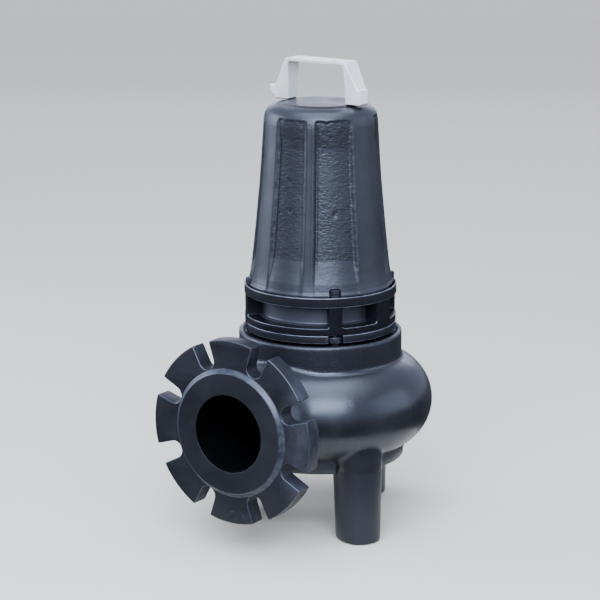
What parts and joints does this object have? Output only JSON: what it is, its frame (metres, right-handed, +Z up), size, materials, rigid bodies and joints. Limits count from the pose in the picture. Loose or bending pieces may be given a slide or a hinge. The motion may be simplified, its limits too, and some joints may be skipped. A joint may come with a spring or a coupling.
{
  "type": "submersible sewage pump",
  "caption": "Submersible sewage pump with a round volute casing, a slotted outlet flange, a ribbed motor shell, a carrying handle and cast legs.",
  "frame": {"origin": "on the floor below the middle of the pump's bounding box", "axes": "+Z up along the pump's shaft; the outlet flange faces -Y; the carrying handle runs along X"},
  "size_m": [0.249, 0.301, 0.514],
  "materials": {
    "cast_paint": "semi-gloss dark blue-black paint on rough castings",
    "handle_metal": "satin",
    "bolt_steel": "painted over with the castings",
    "impeller_paint": "primed cast iron",
    "shaft_steel": "ground",
    "gland_black": "matt"
  },
  "bodies": {
    "root": {"volute_casing": "cast_paint", "suction_cover": "cast_paint", "back_plate": "cast_paint", "lantern": "cast_paint", "motor_shell": "cast_paint", "gland_body": "cast_paint", "gland_nut": "gland_black", "handle": "handle_metal", "impeller": "impeller_paint", "impeller_nut": "bolt_steel", "shaft": "shaft_steel", "oil_plug": "bolt_steel", "cover_screw_1": "bolt_steel", "cover_screw_2": "bolt_steel", "cover_screw_3": "bolt_steel", "clamp_bolt_1": "bolt_steel", "motor_bolt_1": "bolt_steel", "clamp_bolt_2": "bolt_steel", "motor_bolt_2": "bolt_steel", "clamp_bolt_3": "bolt_steel", "motor_bolt_3": "bolt_steel", "clamp_bolt_4": "bolt_steel", "motor_bolt_4": "bolt_steel"}
  },
  "joints": []
}
